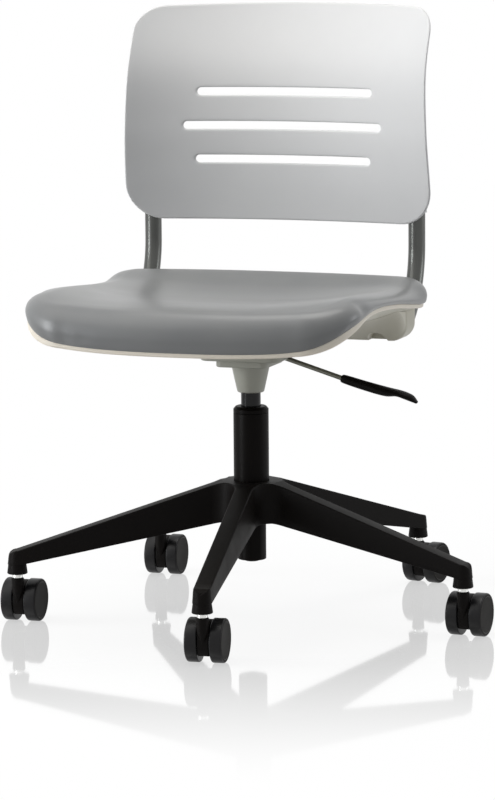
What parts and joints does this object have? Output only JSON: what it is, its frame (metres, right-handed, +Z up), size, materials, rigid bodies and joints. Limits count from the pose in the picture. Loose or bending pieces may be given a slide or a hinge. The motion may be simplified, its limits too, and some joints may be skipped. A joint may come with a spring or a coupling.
{
  "type": "task chair",
  "caption": "Armless swivel task chair: slotted curved back on bent tubes, padded seat on a moulded pan, lift lever, gas column and star base on twin-wheel casters.",
  "frame": {"origin": "on the floor, below the centre of the chair's outline", "axes": "+Z up, the sitter faces -Y, the lift lever is on the +X side"},
  "size_m": [0.6866, 0.698, 0.861],
  "materials": {
    "vinyl_grey": "smooth grey upholstery vinyl, satin",
    "shell_cream": "satin moulded plastic",
    "back_grey": "satin moulded plastic",
    "cast_grey_green": "satin grey-green coating",
    "tube_silver": "metallic silver-grey coating",
    "nylon_black": "fine matte moulding grain",
    "steel_black": "satin black coating",
    "steel_bright": "plain bright steel",
    "tread_black": "nylon wheel, worn-in gloss on the tread",
    "rubber_black": "plain rubber"
  },
  "bodies": {
    "base": {"five_star_base": "nylon_black", "column_tube": "steel_black", "column_bush": "nylon_black", "thrust_bearing": "steel_bright"},
    "spindle": {"piston_rod": "steel_bright", "retaining_clip": "steel_bright"},
    "seat": {"gas_cylinder": "steel_black", "column_socket": "cast_grey_green", "mount_plate": "steel_black", "cross_rail": "steel_black", "lever_pin": "steel_bright", "seat_shell": "shell_cream", "seat_cushion": "vinyl_grey", "pivot_housing_left": "cast_grey_green", "pivot_housing_right": "cast_grey_green", "hinge_pin_left": "steel_bright", "hinge_pin_right": "steel_bright", "torsion_bush_left": "rubber_black", "torsion_bush_right": "rubber_black", "housing_screw_left": "steel_black", "housing_screw_right": "steel_black"},
    "back": {"back_shell": "back_grey", "back_tube_left": "tube_silver", "back_tube_right": "tube_silver"},
    "lever": {"lever_rod": "cast_grey_green", "lever_grip": "nylon_black"},
    "button": {"release_button": "steel_bright"},
    "caster_1": {"caster_1_hood": "nylon_black", "caster_1_stem": "steel_bright", "caster_1_axle": "steel_bright"},
    "caster_1_left": {"caster_1_wheel_left": "tread_black"},
    "caster_1_right": {"caster_1_wheel_right": "tread_black"},
    "caster_2": {"caster_2_hood": "nylon_black", "caster_2_stem": "steel_bright", "caster_2_axle": "steel_bright"},
    "caster_2_left": {"caster_2_wheel_left": "tread_black"},
    "caster_2_right": {"caster_2_wheel_right": "tread_black"},
    "caster_3": {"caster_3_hood": "nylon_black", "caster_3_stem": "steel_bright", "caster_3_axle": "steel_bright"},
    "caster_3_left": {"caster_3_wheel_left": "tread_black"},
    "caster_3_right": {"caster_3_wheel_right": "tread_black"},
    "caster_4": {"caster_4_hood": "nylon_black", "caster_4_stem": "steel_bright", "caster_4_axle": "steel_bright"},
    "caster_4_left": {"caster_4_wheel_left": "tread_black"},
    "caster_4_right": {"caster_4_wheel_right": "tread_black"},
    "caster_5": {"caster_5_hood": "nylon_black", "caster_5_stem": "steel_bright", "caster_5_axle": "steel_bright"},
    "caster_5_left": {"caster_5_wheel_left": "tread_black"},
    "caster_5_right": {"caster_5_wheel_right": "tread_black"}
  },
  "joints": [
    {"name": "seat_swivel", "type": "hinge", "parent": "base", "child": "spindle", "pos_m": [-0.0141, -0.00392, 0.0805], "axis": [0, 0, 1], "continuous": true},
    {"name": "seat_lift", "type": "slide", "parent": "spindle", "child": "seat", "axis": [0, 0, 1], "range_m": [-0.016, 0.1]},
    {"name": "back_recline", "type": "hinge", "parent": "seat", "child": "back", "pos_m": [-0.0141, 0.08099, 0.4155], "axis": [-1, 0, 0], "range_deg": [0, 12], "stiffness_Nm_per_rad": 60, "springref_deg": -6.88},
    {"name": "lever_lift", "type": "hinge", "parent": "seat", "child": "lever", "pos_m": [0.0209, -0.00392, 0.378], "axis": [0, -1, 0], "range_deg": [0, 6], "stiffness_Nm_per_rad": 0.6, "springref_deg": -5.73},
    {"name": "button_press", "type": "slide", "parent": "seat", "child": "button", "axis": [0, 0, -1], "range_m": [0, 0.0042]},
    {"name": "caster_1_swivel", "type": "hinge", "parent": "base", "child": "caster_1", "pos_m": [0.02884, -0.33454, 0], "axis": [0, 0, 1], "continuous": true},
    {"name": "caster_1_left_roll", "type": "hinge", "parent": "caster_1", "child": "caster_1_left", "pos_m": [0.02629, -0.30806, 0.0303], "axis": [0.9954, 0.0958, 0], "continuous": true},
    {"name": "caster_1_right_roll", "type": "hinge", "parent": "caster_1", "child": "caster_1_right", "pos_m": [0.02629, -0.30806, 0.0303], "axis": [0.9954, 0.0958, 0], "continuous": true},
    {"name": "caster_2_swivel", "type": "hinge", "parent": "base", "child": "caster_2", "pos_m": [0.31361, -0.06525, 0], "axis": [0, 0, 1], "continuous": true},
    {"name": "caster_2_left_roll", "type": "hinge", "parent": "caster_2", "child": "caster_2_left", "pos_m": [0.31551, -0.03871, 0.0303], "axis": [0.9974, -0.0715, 0], "continuous": true},
    {"name": "caster_2_right_roll", "type": "hinge", "parent": "caster_2", "child": "caster_2_right", "pos_m": [0.31551, -0.03871, 0.0303], "axis": [0.9974, -0.0715, 0], "continuous": true},
    {"name": "caster_3_swivel", "type": "hinge", "parent": "base", "child": "caster_3", "pos_m": [0.1455, 0.2888, 0], "axis": [0, 0, 1], "continuous": true},
    {"name": "caster_3_left_roll", "type": "hinge", "parent": "caster_3", "child": "caster_3_left", "pos_m": [0.15039, 0.31495, 0.0303], "axis": [0.9829, -0.184, 0], "continuous": true},
    {"name": "caster_3_right_roll", "type": "hinge", "parent": "caster_3", "child": "caster_3_right", "pos_m": [0.15039, 0.31495, 0.0303], "axis": [0.9829, -0.184, 0], "continuous": true},
    {"name": "caster_4_swivel", "type": "hinge", "parent": "base", "child": "caster_4", "pos_m": [-0.24317, 0.23832, 0], "axis": [0, 0, 1], "continuous": true},
    {"name": "caster_4_left_roll", "type": "hinge", "parent": "caster_4", "child": "caster_4_left", "pos_m": [-0.24378, 0.26492, 0.0303], "axis": [0.9997, 0.0227, 0], "continuous": true},
    {"name": "caster_4_right_roll", "type": "hinge", "parent": "caster_4", "child": "caster_4_right", "pos_m": [-0.24378, 0.26492, 0.0303], "axis": [0.9997, 0.0227, 0], "continuous": true},
    {"name": "caster_5_swivel", "type": "hinge", "parent": "base", "child": "caster_5", "pos_m": [-0.31527, -0.14692, 0], "axis": [0, 0, 1], "continuous": true},
    {"name": "caster_5_left_roll", "type": "hinge", "parent": "caster_5", "child": "caster_5_left", "pos_m": [-0.31634, -0.12034, 0.0303], "axis": [0.9992, 0.0401, 0], "continuous": true},
    {"name": "caster_5_right_roll", "type": "hinge", "parent": "caster_5", "child": "caster_5_right", "pos_m": [-0.31634, -0.12034, 0.0303], "axis": [0.9992, 0.0401, 0], "continuous": true}
  ],
  "couplings": [
    {"joint": "button_press", "follows": "lever_lift", "m_per_rad": 0.034}
  ]
}
